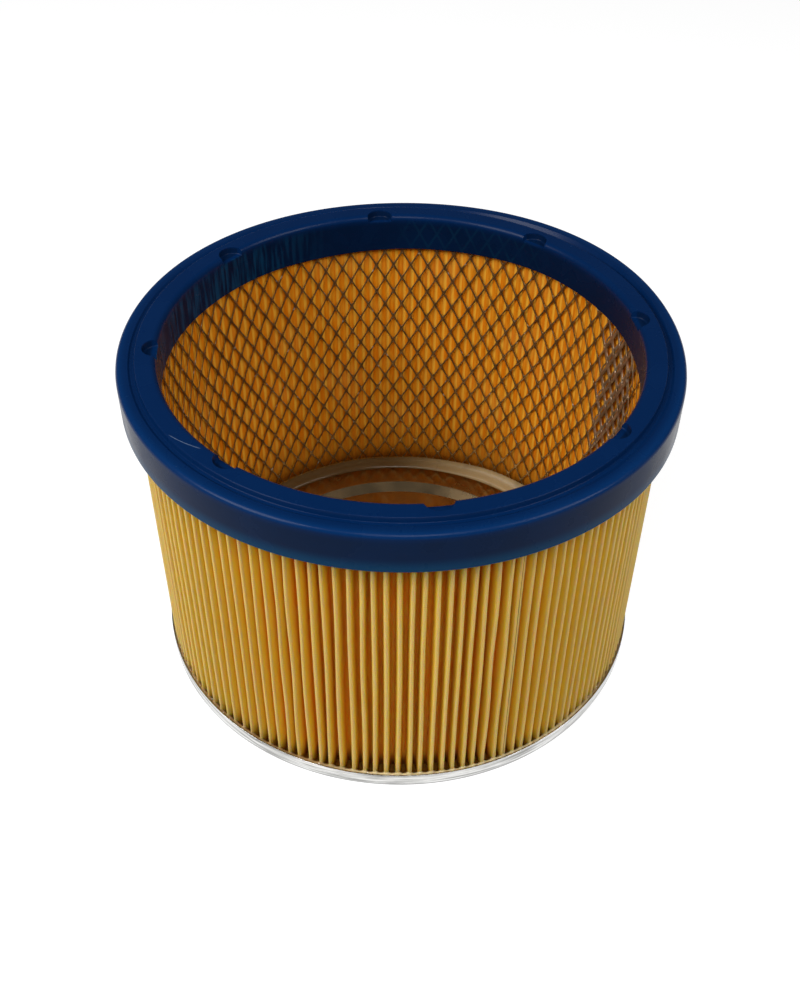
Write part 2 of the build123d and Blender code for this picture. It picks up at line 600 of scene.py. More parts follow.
@dataclass(frozen=True)
class ResinFinish:
    """Cream cast adhesive, slightly see-through, with fine bubbles and brown smears; its cream outer lip is
    strongest towards the front, partly as painted light, and browner round the sides, partly as painted
    shade.
    """

    mesh_r: float
    outer_r: float
    cream: Colour = rgb(0.66, 0.52, 0.27)
    amber: Colour = rgb(0.105, 0.060, 0.022)
    tan: Colour = rgb(0.40, 0.285, 0.135)
    brown: Colour = rgb(0.21, 0.085, 0.009)
    froth: Colour = rgb(0.88, 0.84, 0.74)
    front_turn: float = math.radians(-70)
    right_turn: float = math.radians(35)

    def build(self) -> bpy.types.Material:
        """Makes the material.

        Returns:
            The finished material.
        """
        sheet = ShaderSheet("potting_resin")
        x, y, _ = sheet.split(sheet.place)
        radius = sheet.reach(x, y)
        turn = sheet.calc("ARCTAN2", y, x)
        outside = sheet.span(radius, self.outer_r - 1.5 * MM, self.outer_r - 0.8 * MM)
        within = sheet.span(radius, self.mesh_r + 0.4 * MM, self.mesh_r - 0.4 * MM)
        front = sheet.span(sheet.facing(turn, self.front_turn), 0.76, 0.94, 0.25, 1.0)
        right = sheet.span(sheet.facing(turn, self.right_turn), 0.50, 0.97)
        pale = sheet.both(within, right)
        # cream outer lip, strongest towards the front: partly the resin's colour, partly painted light;
        # browner round the sides, partly painted shade
        front_cream_and_light = sheet.both(outside, front)
        blotch = sheet.noise(sheet.place, 130.0, 4.0)
        colour = sheet.mix(within, self.brown, self.amber)
        colour = sheet.mix(pale, colour, self.tan)
        colour = sheet.mix(front_cream_and_light, colour, self.cream)
        colour = sheet.mix(sheet.span(blotch, 0.45, 0.75, 0.0, 0.4), colour, self.amber)
        froth = sheet.specks(sheet.place, 900.0, 0.34, 0.16)
        colour = sheet.mix(sheet.calc("MULTIPLY", froth, outside), colour, self.froth)
        sheet.set(
            Base_Color=colour,
            Roughness=sheet.span(sheet.calc("ADD", pale, front_cream_and_light), 0.0, 1.0, 0.12, 0.42),
            Specular_IOR_Level=0.35,
            Subsurface_Weight=0.25,
            Subsurface_Radius=(1.0, 0.6, 0.25),
            Subsurface_Scale=1.5 * MM,
        )
        sheet.bump(sheet.noise(sheet.place, 700.0, 3.0), 0.08 * MM, 0.7)
        return sheet.material


@dataclass(frozen=True)
class FloorFinish:
    """Pale floor that reads as white to the camera and keeps a soft shadow."""

    paint: Colour = rgb(0.37, 0.37, 0.37)
    worn: Colour = rgb(0.35, 0.35, 0.35)
    glow: float = 0.80

    def build(self) -> bpy.types.Material:
        """Makes the material.

        Returns:
            The finished material.
        """
        sheet = ShaderSheet("studio_floor")
        rays = sheet.tree.nodes.new("ShaderNodeLightPath")
        seen = sheet.calc("MAXIMUM", rays.outputs["Is Camera Ray"], rays.outputs["Is Transmission Ray"])
        seen = sheet.calc("MAXIMUM", seen, rays.outputs["Is Glossy Ray"])
        grain = sheet.noise(sheet.place, 30.0, 2.0)
        colour = sheet.mix(sheet.span(grain, 0.3, 0.7, 0.0, 0.04), self.paint, self.worn)
        sheet.set(
            Base_Color=colour,
            Roughness=0.9,
            Specular_IOR_Level=0.0,
            Emission_Color=rgb(1.0, 1.0, 1.0),
            Emission_Strength=sheet.calc("MULTIPLY", seen, self.glow),
        )
        return sheet.material


def new_piece(name: str, bm: bmesh.types.BMesh, material: bpy.types.Material) -> bpy.types.Object:
    """Turns a bmesh into an object at the origin.

    Args:
        name: Name of the piece.
        bm: Mesh to use up.
        material: Finish of every face.

    Returns:
        The new object, smooth shaded.
    """
    mesh = bpy.data.meshes.new(name)
    bm.to_mesh(mesh)
    bm.free()
    mesh.materials.append(material)
    mesh.shade_smooth()
    piece = bpy.data.objects.new(name, mesh)
    bpy.context.scene.collection.objects.link(piece)
    return piece


def thicken(piece: bpy.types.Object, thickness: float) -> None:
    """Gives a sheet its thickness, half to each side.

    Args:
        piece: Sheet to thicken.
        thickness: Thickness of the stock.
    """
    wall = piece.modifiers.new("sheet_thickness", "SOLIDIFY")
    wall.thickness = thickness
    wall.offset = 0.0


def settle(piece: bpy.types.Object, node: Optional[Node]) -> None:
    """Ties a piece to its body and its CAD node.

    Args:
        piece: Finished object.
        node: CAD node that it stands for, if any.
    """
    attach(piece, BODY)
    if node is not None:
        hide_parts(node.value)
    LOG.info("%s: %d faces", piece.name, len(piece.data.polygons))


def turned(corners: Sequence[Corner], steps: int, segments: int = 4) -> bmesh.types.BMesh:
    """Closed shell turned about Z from an outline with rounded corners.

    Args:
        corners: Radius, height and rounding of each corner, in order.
        steps: Steps of the full turn.
        segments: Facets of each rounded corner.

    Returns:
        The mesh, with its normals outwards.
    """
    bm = bmesh.new()
    verts = [bm.verts.new((radius, 0.0, height)) for radius, height, _ in corners]
    bm.faces.new(verts)
    for vert, (_, _, rounding) in zip(verts, corners):
        if rounding > 0.0:
            before, after = (edge.other_vert(vert).co - vert.co for edge in vert.link_edges)
            setback = rounding / math.tan(before.angle(after) / 2)
            bmesh.ops.bevel(
                bm, geom=[vert], offset=setback, offset_type="OFFSET", affect="VERTICES",
                segments=segments, profile=0.5, material=-1, clamp_overlap=False,
            )
    bmesh.ops.delete(bm, geom=bm.faces[:], context="FACES_ONLY")
    bmesh.ops.spin(
        bm, geom=bm.verts[:] + bm.edges[:], cent=(0, 0, 0), axis=(0, 0, 1), dvec=(0, 0, 0),
        angle=TAU, steps=steps, use_merge=True, use_duplicate=False,
    )
    bmesh.ops.remove_doubles(bm, verts=bm.verts, dist=1e-6)
    bmesh.ops.recalc_face_normals(bm, faces=bm.faces)
    return bm


@dataclass
class SealRing:
    """Moulded elastomer ring at the open end."""

    outer_r: float
    bore_r: float
    socket_inner_r: float
    socket_outer_r: float
    top: float
    bottom: float
    socket_top: float
    lip: float = 4.0 * MM
    lip_drop: float = 1.2 * MM
    lip_round: float = 1.6 * MM
    groove: float = 2.2 * MM
    groove_depth: float = 0.5 * MM
    groove_slope: float = 0.5 * MM
    groove_round: float = 0.3 * MM
    bore_round: float = 2.0 * MM
    collar_round: float = 0.3 * MM
    socket_round: float = 0.4 * MM
    skirt_round: float = 0.8 * MM
    cut_round: float = 0.25 * MM
    pocket_r: float = 4.7 * MM
    pocket_depth: float = 2.6 * MM
    pocket_taper: float = 0.3 * MM
    pocket_round: float = 0.6 * MM
    pockets: int = 8
    pocket_turn: float = math.radians(7.1)
    pocket_drift: float = math.radians(2.0)
    drift_turn: float = math.radians(27)
    collar_rise: float = 2.2 * MM
    collar_ripple: float = 0.12 * MM
    collar_turn: float = math.radians(42)
    lip_lift: float = 1.1 * MM
    lip_band: float = 2.0 * MM
    skirt_drop: float = 0.7 * MM
    foot_band: float = 1.0 * MM
    slack: float = 0.1 * MM
    swell: float = 0.9 * MM
    swell_left: float = 0.6
    swell_front: float = 0.4
    swell_start: float = math.radians(-65)
    swell_ramp: float = math.radians(40)
    steps: int = 360

    @property
    def lip_top(self) -> float:
        """Height of the outer lip, a step below the inner flat."""
        return self.top - self.lip_drop

    def outline(self) -> list[Corner]:
        """Draws the ring's section.

        Returns:
            Its corners, in order.
        """
        groove_out = self.outer_r - self.lip
        groove_in = groove_out - self.groove
        floor = self.lip_top - self.groove_depth
        return [
            (self.bore_r, self.bottom, self.collar_round),
            (self.socket_inner_r, self.bottom, 0.0),
            (self.socket_inner_r, self.socket_top, 0.0),
            (self.socket_outer_r, self.socket_top, 0.0),
            (self.socket_outer_r, self.bottom, self.socket_round),
            (self.outer_r, self.bottom, self.skirt_round),
            (self.outer_r, self.lip_top, self.lip_round),
            (groove_out, self.lip_top, self.groove_round),
            (groove_out - self.groove_slope, floor, self.groove_round),
            (groove_in + self.groove_slope, floor, self.groove_round),
            (groove_in, self.top, self.groove_round),
            (self.bore_r, self.top, self.bore_round),
        ]

    def collar_lift(self, turn: float) -> float:
        """Rise of the collar's lower edge, which ends higher at the back right and runs unevenly."""
        near = max(0.0, math.cos(turn - self.collar_turn))
        return self.collar_rise * near ** 3 + self.collar_ripple * (1 + math.sin(9 * turn))

    def swelling(self, turn: float) -> float:
        """Bulge of the ring's outer edge, which is less towards the front and the left.

        Args:
            turn: Angle about the axis.

        Returns:
            Gain in radius.
        """
        rise = min(1.0, max(0.0, (turn - self.swell_start) / self.swell_ramp))
        front = self.swell_front + (1 - self.swell_front) * rise * rise * (3 - 2 * rise)
        share = 1.0 if math.cos(turn) > 0 else self.swell_left
        return self.swell * share * front * math.sin(2 * turn) ** 2

    def warp(self, place: Vector) -> Vector:
        """Moves a point of the even ring to where the soft moulding has it.

        Args:
            place: Point of the turned ring.

        Returns:
            The moved point.
        """
        radius = math.hypot(place.x, place.y)
        turn = math.atan2(place.y, place.x)
        height = place.z
        at_foot = height < self.bottom + self.foot_band
        in_lip = radius > self.outer_r - self.lip - self.slack
        if at_foot and radius < self.socket_inner_r + self.slack:
            height += self.collar_lift(turn)
        if at_foot and radius > self.socket_outer_r - self.slack:
            height -= self.skirt_drop * (0.5 - 0.5 * math.sin(turn))
        if in_lip and height > self.lip_top - self.lip_band:
            height += self.lip_lift * max(0.0, math.cos(turn - self.collar_turn)) ** 3
        if in_lip:
            radius += self.swelling(turn)
        return Vector((radius * math.cos(turn), radius * math.sin(turn), height))

    def pocket_cutter(self) -> bpy.types.Object:
        """Makes round cutters that stand on the bore's top edge.

        Returns:
            All the cutters, as one object.
        """
        bm = bmesh.new()
        height = 2 * self.pocket_depth
        for index in range(self.pockets):
            even = TAU * index / self.pockets
            turn = self.pocket_turn + even + self.pocket_drift * math.cos(even + self.drift_turn)
            centre = Vector((math.cos(turn), math.sin(turn), 0)) * self.bore_r
            place = Matrix.Translation(centre + Vector((0, 0, self.top)))
            made = bmesh.ops.create_cone(
                bm, cap_ends=True, segments=40, radius1=self.pocket_r - self.pocket_taper,
                radius2=self.pocket_r + self.pocket_taper, depth=height, matrix=place,
            )
            low = self.top - height / 4
            floor_edges = {
                edge for vert in made["verts"] for edge in vert.link_edges
                if all(end.co.z < low for end in edge.verts)
            }
            bmesh.ops.bevel(
                bm, geom=list(floor_edges), offset=self.pocket_round, offset_type="OFFSET",
                affect="EDGES", segments=3, profile=0.5, material=-1,
            )
        mesh = bpy.data.meshes.new("pocket_cutter")
        bm.to_mesh(mesh)
        bm.free()
        cutter = bpy.data.objects.new("pocket_cutter", mesh)
        bpy.context.scene.collection.objects.link(cutter)
        return cutter

    def build(self) -> bpy.types.Object:
        """Turns the ring, cuts its pockets and rounds their edges.

        Returns:
            The dressed ring.
        """
        finish = ElastomerFinish(self.outer_r, self.bore_r, self.top, self.bottom, self.lip_top)
        bm = turned(self.outline(), self.steps)
        for vert in bm.verts:
            vert.co = self.warp(vert.co)
        piece = new_piece("seal_ring_moulding", bm, finish.build())
        cutter = self.pocket_cutter()
        cut = piece.modifiers.new("pockets", "BOOLEAN")
        cut.operation = "DIFFERENCE"
        cut.solver = "EXACT"
        cut.object = cutter
        graph = bpy.context.evaluated_depsgraph_get()
        mesh = bpy.data.meshes.new_from_object(piece.evaluated_get(graph))
        piece.modifiers.clear()
        piece.data = mesh
        bpy.data.objects.remove(cutter)
        mesh.shade_smooth()
        edge = piece.modifiers.new("soft_edges", "BEVEL")
        edge.limit_method = "ANGLE"
        edge.angle_limit = math.radians(40)
        edge.width = self.cut_round
        edge.segments = 2
        piece.modifiers.new("even_shading", "WEIGHTED_NORMAL")
        settle(piece, Node.SEAL_RING)
        return piece


@dataclass
class PleatedMedia:
    """Sheet of filter paper folded into a ring of uneven pleats with one glued seam."""

    outer_r: float
    inner_r: float
    bottom: float
    top: float
    count: int = 152
    paper: float = 0.5 * MM
    fold_r: float = 0.34 * MM
    root_gap: float = 0.10 * MM
    wall_depth: float = 0.45 * MM
    wall_paper: float = 0.10 * MM
    wall_steps: int = 8
    uneven: float = 0.10
    wide_turn: float = math.radians(205)
    seam_turn: float = math.radians(294)
    seam_width: float = 1.9
    seam_notch: float = 0.6 * MM
    levels: int = 12
    arc: int = 6
    seed: int = 11
    shake: list[float] = field(default_factory=list)
    sway: list[tuple[float, float, float]] = field(default_factory=list)
    reach: list[float] = field(default_factory=list)
    crests: list[float] = field(default_factory=list)

    def __post_init__(self) -> None:
        """Draws each pleat's small faults."""
        draw = random.Random(self.seed)
        pitch = TAU / self.count
        self.shake = [draw.uniform(-0.07, 0.07) * pitch for _ in range(self.count)]
        self.sway = [
            (draw.uniform(0.04, 0.24) * MM, draw.uniform(0.05, 0.13), draw.uniform(0, TAU))
            for _ in range(self.count)
        ]
        self.reach = [draw.uniform(-0.22, 0.0) * MM for _ in range(self.count)]
        self.crests = [self.crest_turn(index) for index in range(self.count + 1)]

    def crest_turn(self, index: int) -> float:
        """Places a crest: the pitch is wider at the front left than at the right.

        Args:
            index: Number of the crest, which may count on past a full turn.

        Returns:
            Its angle about the axis.
        """
        lap, place = divmod(index, self.count)
        even = TAU * place / self.count
        return TAU * lap + even + self.uneven * math.sin(even - self.wide_turn) + self.shake[place]

    def pleat_share(self, turn: float) -> float:
        """Finds a place among the pleats.

        Args:
            turn: Angle about the axis.

        Returns:
            Share of the way from one crest to the next.
        """
        place = self.crests[0] + (turn - self.crests[0]) % TAU
        index = min(bisect.bisect_right(self.crests, place), self.count) - 1
        return (place - self.crests[index]) / (self.crests[index + 1] - self.crests[index])

    @property
    def steps(self) -> int:
        """Sheet columns in one pleat."""
        return 2 * (self.arc + 2)

    @property
    def wall_back(self) -> float:
        """Radius behind the pressed roots."""
        return self.inner_r + self.wall_depth + 2 * self.wall_paper

    @property
    def seam(self) -> int:
        """Index of the glued crest."""
        return min(range(self.count), key=lambda index: abs(self.crest_turn(index) - self.seam_turn))

    def fold_point(self, column: int, height: float, seam: int) -> Vector:
        """Place of one point of the sheet's middle surface.

        Args:
            column: Column along the sheet.
            height: Height above the floor.
            seam: Index of the glued crest.

        Returns:
            The folded place.
        """
        index, step = divmod(column, self.steps)
        index %= self.count
        half = self.steps // 2
        crest = step < half
        bend = step if crest else step - half
        swing = -90 + 180 * min(bend, self.arc) / self.arc
        lean = math.radians(swing)
        middle = self.paper / 2
        here = self.crest_turn(index)
        after = self.crest_turn(index + 1)
        amount, length, phase = self.sway[index]
        push = amount * math.sin(TAU * height / length + phase)
        if bend == self.arc + 1:
            along = (self.outer_r + self.inner_r) / 2
            turn = here + (after - here) * (0.25 if crest else 0.75)
            across = push if crest else 0.0
        elif crest:
            wide = self.seam_width if index == seam else 1.0
            along = self.outer_r - middle + self.reach[index] - self.fold_r * (1 - math.cos(lean))
            across = self.fold_r * wide * math.sin(lean) + push
            turn = here
            if index == seam and bend == self.arc // 2:
                along -= self.seam_notch
        else:
            before = self.crest_turn(index + self.count - 1) - TAU
            beyond = self.crest_turn(index + 2)
            room = self.inner_r * min(after - before, beyond - here) / 4
            root_r = room - middle - self.root_gap
            along = self.wall_back + middle + root_r * (1 - math.cos(lean))
            across = root_r * math.sin(lean)
            turn = (here + after) / 2
        outwards = Vector((math.cos(turn), math.sin(turn), 0))
        sideways = Vector((-math.sin(turn), math.cos(turn), 0))
        return outwards * along + sideways * across + Vector((0, 0, height))

    def folds(self) -> bmesh.types.BMesh:
        """Folds a flat sheet into the ring of pleats and marks the glued crest.

        Returns:
            The sheet, without thickness.
        """
        columns = self.count * self.steps
        seam = self.seam
        glued = [seam * self.steps + self.arc // 2 + edge for edge in (0, 2)]
        bm = bmesh.new()
        bmesh.ops.create_grid(bm, x_segments=columns, y_segments=self.levels, size=0.5)
        mark = bm.verts.layers.float.new(GLUE)
        for vert in bm.verts:
            column = round((vert.co.x + 0.5) * columns) % columns
            height = self.bottom + (vert.co.y + 0.5) * (self.top - self.bottom)
            vert[mark] = float(column in glued)
            vert.co = self.fold_point(column, height, seam)
        return bm

    def roots(self) -> bmesh.types.BMesh:
        """Lays the inner faces of the folds, pressed against the mesh, and marks their mouths.

        Returns:
            The sheet, without thickness.
        """
        columns = self.count * self.wall_steps
        bm = bmesh.new()
        bmesh.ops.create_grid(bm, x_segments=columns, y_segments=self.levels, size=0.5)
        mark = bm.verts.layers.float.new(MOUTH)
        for vert in bm.verts:
            index, step = divmod(round((vert.co.x + 0.5) * columns) % columns, self.wall_steps)
            share = step / self.wall_steps
            height = self.bottom + (vert.co.y + 0.5) * (self.top - self.bottom)
            turn = self.crest_turn(index) * (1 - share) + self.crest_turn(index + 1) * share
            mouth = 0.5 + 0.5 * math.cos(TAU * share)
            radius = self.inner_r + self.wall_paper + self.wall_depth * mouth
            vert[mark] = mouth
            vert.co = (radius * math.cos(turn), radius * math.sin(turn), height)
        return bm

    def dress(
        self, name: str, bm: bmesh.types.BMesh, paper: float, material: bpy.types.Material,
    ) -> bpy.types.Object:
        """Closes a folded sheet into a ring and gives it the paper's thickness.

        Args:
            name: Name of the piece.
            bm: Sheet to use up.
            paper: Thickness.
            material: Finish of the paper.

        Returns:
            The finished sheet.
        """
        bmesh.ops.remove_doubles(bm, verts=bm.verts, dist=1e-7)
        bmesh.ops.recalc_face_normals(bm, faces=bm.faces)
        piece = new_piece(name, bm, material)
        thicken(piece, paper)
        return piece

    def build(self) -> list[bpy.types.Object]:
        """Makes the pleats and their pressed roots.

        Returns:
            Both sheets.
        """
        lit = PaperFinish(
            "filter_paper", self.outer_r, self.inner_r, self.bottom,
            glow=0.9, shine=0.25, darkening_height=10.5 * MM, low_darkening=0.62,
        )
        pleats = self.dress("pleated_paper", self.folds(), self.paper, lit.build())
        settle(pleats, Node.MEDIA)
        backed = PaperFinish(
            "filter_paper_roots", self.outer_r, self.inner_r, self.bottom,
            glow=0.0, shine=0.05, darkening_height=27.0 * MM, low_darkening=0.85,
        )
        roots = self.dress("pressed_roots", self.roots(), self.wall_paper, backed.build())
        settle(roots, None)
        return [pleats, roots]


@dataclass
class SupportMesh:
    """Expanded-metal tube inside the pleats, lapped along one side."""

    middle_r: float
    bottom: float
    top: float
    columns: int = MESH_COLUMNS
    rows: int = 10
    half_strand: float = 0.27 * MM
    tilt: float = 0.15 * MM
    gauge: float = 0.30 * MM
    cuts: int = 3
    lap_start: float = math.radians(3)
    lap_columns: int = 4
    lap_strand: float = 0.50 * MM
    lap_shifts: tuple[float, float] = (0.37, 0.70)
    lap_offset: float = 0.40 * MM

    @property
    def pitch(self) -> float:
        """Angle that one diamond takes up."""
        return TAU / self.columns

    @property
    def row_height(self) -> float:
        """Height of one diamond."""
        return (self.top - self.bottom) / self.rows

    def lattice(
        self, columns: int, rows: int, start: float, radius: float, lift: float, half_strand: float,
    ) -> bmesh.types.BMesh:
        """Diamond lattice bent round the axis, each diamond opened to tilted strands.

        Args:
            columns: Diamonds across the sheet.
            rows: Diamonds up the sheet.
            start: Angle of its first column.
            radius: Radius of its middle surface.
            lift: Height by which the sheet is shifted.
            half_strand: Half of a strand's width.

        Returns:
            The sheet, without thickness.
        """
        bm = bmesh.new()
        bmesh.ops.create_grid(bm, x_segments=columns, y_segments=rows, size=0.5)
        crossings = bm.edges[:]
        bmesh.ops.poke(bm, faces=bm.faces[:])
        for vert in bm.verts:
            turn = start + (vert.co.x + 0.5) * columns * self.pitch
            height = self.bottom + lift + (vert.co.y + 0.5) * rows * self.row_height
            vert.co = (radius * math.cos(turn), radius * math.sin(turn), height)
        bmesh.ops.remove_doubles(bm, verts=bm.verts, dist=1e-6)
        inner = [edge for edge in crossings if edge.is_valid and len(edge.link_faces) == 2]
        bmesh.ops.dissolve_edges(bm, edges=inner, use_verts=False)
        diamonds = [face for face in bm.faces if len(face.verts) == 4]
        halves = [face for face in bm.faces if len(face.verts) != 4]
        bmesh.ops.delete(bm, geom=halves, context="FACES")
        bmesh.ops.inset_individual(bm, faces=diamonds, thickness=half_strand, use_even_offset=True)
        tips = {vert for face in diamonds for vert in face.verts}
        strands = [edge for edge in bm.edges if (edge.verts[0] in tips) == (edge.verts[1] in tips)]
        for face in diamonds:
            middle = face.calc_center_median()
            tall = max(abs(vert.co.z - middle.z) for vert in face.verts)
            for vert in face.verts:
                out = Vector((vert.co.x, vert.co.y, 0)).normalized()
                vert.co += out * self.tilt * (vert.co.z - middle.z) / tall
        bmesh.ops.delete(bm, geom=diamonds, context="FACES_ONLY")
        bmesh.ops.subdivide_edges(bm, edges=strands, cuts=self.cuts, use_grid_fill=True)
        corners = [vert for vert in bm.verts if self.is_corner(vert)]
        bmesh.ops.smooth_vert(
            bm, verts=corners, factor=0.5, use_axis_x=True, use_axis_y=True, use_axis_z=True,
        )
        bmesh.ops.recalc_face_normals(bm, faces=bm.faces)
        return bm

    def is_corner(self, vert: bmesh.types.BMVert) -> bool:
        """Tells whether the edge of an opening turns sharply at a vertex."""
        ends = [edge.other_vert(vert).co - vert.co for edge in vert.link_edges if edge.is_boundary]
        return len(ends) == 2 and ends[0].angle(ends[1]) < math.radians(150)

    def dress(self, name: str, bm: bmesh.types.BMesh, material: bpy.types.Material) -> bpy.types.Object:
        """Gives a lattice the sheet's gauge.

        Args:
            name: Name of the piece.
            bm: Lattice to use up.
            material: Finish of the metal.

        Returns:
            The finished sheet.
        """
        piece = new_piece(name, bm, material)
        thicken(piece, self.gauge)
        return piece

    def build(self) -> list[bpy.types.Object]:
        """Makes the tube and the lap of its side seam.

        Returns:
            The sheets.
        """
        material = ExpandedMetalFinish().build()
        tube_sheet = self.lattice(self.columns, self.rows, 0.0, self.middle_r, 0.0, self.half_strand)
        tube = self.dress("expanded_tube", tube_sheet, material)
        settle(tube, Node.MESH)
        # the lap is lighter brown and carries more painted glints
        lap_glint_finish = ExpandedMetalFinish(
            "expanded_metal_lap", zinc=rgb(0.62, 0.50, 0.37), film=rgb(0.33, 0.23, 0.13), glint_share=0.6,
        )
        lap_finish = lap_glint_finish.build()
        pieces = [tube]
        for layer, shift in enumerate(self.lap_shifts, start=1):
            start = self.lap_start + shift * self.pitch
            radius = self.middle_r - layer * self.lap_offset
            lift = shift * self.row_height
            sheet = self.lattice(self.lap_columns, self.rows - 1, start, radius, lift, self.lap_strand)
            lap = self.dress(f"seam_lap_{layer}", sheet, lap_finish)
            settle(lap, None)
            pieces.append(lap)
        return pieces


@dataclass
class EndCap:
    """Pressed pan that closes the bottom."""

    outer_r: float
    rim_top: float
    bead_outer_r: float
    sheet: float = 0.5 * MM
    bead_height: float = 2.6 * MM
    bead_width: float = 9.5 * MM
    bead_slope: float = 4.0 * MM
    bend: float = 0.5 * MM
    rim_spring: float = 0.6 * MM
    rim_round: float = 0.12 * MM
    steps: int = 288

    def outline(self) -> list[Corner]:
        """Draws the pan's section.

        Returns:
            Its corners, in order.
        """
        bead_in = self.bead_outer_r - self.bead_width
        foot = bead_in - self.bead_slope
        low = self.bead_height
        high = self.bead_height + self.sheet
        wide = self.bend + self.sheet
        inside = self.outer_r - self.sheet
        edge = self.rim_top + self.rim_spring
        return [
            (0.0, 0.0, 0.0),
            (foot, 0.0, wide),
            (bead_in, low, self.bend),
            (self.bead_outer_r - self.sheet, low, self.bend),
            (self.bead_outer_r - self.sheet, 0.0, wide),
            (self.outer_r, 0.0, wide),
            (self.outer_r, edge, self.rim_round),
            (inside, edge, self.rim_round),
            (inside, self.sheet, self.bend),
            (self.bead_outer_r, self.sheet, self.bend),
            (self.bead_outer_r, high, wide),
            (bead_in, high, wide),
            (foot, self.sheet, self.bend),
            (0.0, self.sheet, 0.0),
        ]

    def build(self) -> bpy.types.Object:
        """Turns the pan.

        Returns:
            The dressed pan.
        """
        finish = PanFinish(self.outer_r)
        piece = new_piece("pressed_pan", turned(self.outline(), self.steps), finish.build())
        settle(piece, Node.END_CAP)
        return piece


@dataclass
class PottingRing:
    """Cast adhesive round the foot of the pleats, climbing the folds and the mesh unevenly."""

    inner_r: float
    mesh_r: float
    outer_r: float
    floor: float
    dam_top: float
    rim_top: float
    media: PleatedMedia
    steps_per_pleat: int = 10
    crest_rise: float = 1.4 * MM
    long_wave: float = 0.16 * MM
    short_wave: float = 0.12 * MM
    mesh_reach: float = 2.2 * MM
    mesh_least: float = 0.1 * MM
    mesh_rise: float = 2.6 * MM
    rise_turn: float = math.radians(35)
    bubbles: int = 220
    seed: int = 5

    def outline(self) -> list[Corner]:
        """Draws the casting's section.

        Returns:
            Its corners, in order.
        """
        return [
            (self.inner_r, self.floor, 0.0),
            (self.outer_r, self.floor, 0.0),
            (self.outer_r, self.rim_top, 0.0),
            (self.outer_r - 0.5 * MM, self.rim_top + 0.2 * MM, 0.0),
            (self.outer_r - 1.1 * MM, self.rim_top - 0.1 * MM, 0.0),
            (self.outer_r - 1.8 * MM, self.rim_top - 1.5 * MM, 0.0),
            (self.outer_r - 3.6 * MM, self.rim_top - 1.6 * MM, 0.0),
            (self.mesh_r + 1.0 * MM, self.rim_top - 1.4 * MM, 0.0),
            (self.mesh_r, self.dam_top + 0.7 * MM, 0.0),
            (self.mesh_r - 1.2 * MM, self.dam_top + 0.2 * MM, 0.0),
            (self.mesh_r - 3.0 * MM, self.dam_top, 0.0),
            (self.inner_r + 0.6 * MM, self.dam_top, 0.0),
            (self.inner_r, self.dam_top - 0.5 * MM, 0.0),
        ]

    def climb(self, radius: float, turn: float) -> float:
        """Height that the cast surface gains at a place.

        Args:
            radius: Distance from the axis.
            turn: Angle about the axis.

        Returns:
            Rise in metres.
        """
        wave = self.long_wave * math.sin(7 * turn + 1.0) + self.short_wave * math.sin(17 * turn + 2.2)
        near_mesh = max(0.0, 1 - abs(radius - self.mesh_r) / self.mesh_reach)
        right = max(0.0, math.cos(turn - self.rise_turn))
        outside = min(1.0, max(0.0, (radius - self.outer_r + 2.0 * MM) / (1.2 * MM)))
        crest = 0.5 + 0.5 * math.cos(TAU * self.media.pleat_share(turn))
        foot = outside * self.crest_rise * crest ** 1.5
        return wave + near_mesh * (self.mesh_least + self.mesh_rise * right ** 4) + foot

    def build(self) -> list[bpy.types.Object]:
        """Turns the casting, lets it climb, and adds the froth along the rim.

        Returns:
            The casting and its bubbles.
        """
        material = ResinFinish(self.mesh_r, self.outer_r).build()
        bm = turned(self.outline(), self.media.count * self.steps_per_pleat)
        for vert in bm.verts:
            if vert.co.z > self.dam_top - 0.1 * MM:
                radius = math.hypot(vert.co.x, vert.co.y)
                vert.co.z += self.climb(radius, math.atan2(vert.co.y, vert.co.x))
        piece = new_piece("potting_casting", bm, material)
        settle(piece, Node.POTTING)
        froth = new_piece("potting_froth", self.froth(), material)
        settle(froth, None)
        return [piece, froth]

    def froth(self) -> bmesh.types.BMesh:
        """Sets small bubbles in the casting along the rim.

        Returns:
            The bubbles.
        """
        draw = random.Random(self.seed)
        bm = bmesh.new()
        for _ in range(self.bubbles):
            turn = draw.uniform(0, TAU)
            radius = self.outer_r - draw.uniform(0.1, 0.9) * MM
            height = self.rim_top + draw.uniform(0.0, 0.35) * MM
            place = Matrix.Translation((radius * math.cos(turn), radius * math.sin(turn), height))
            bmesh.ops.create_icosphere(bm, subdivisions=1, radius=draw.uniform(0.1, 0.28) * MM, matrix=place)
        return bm


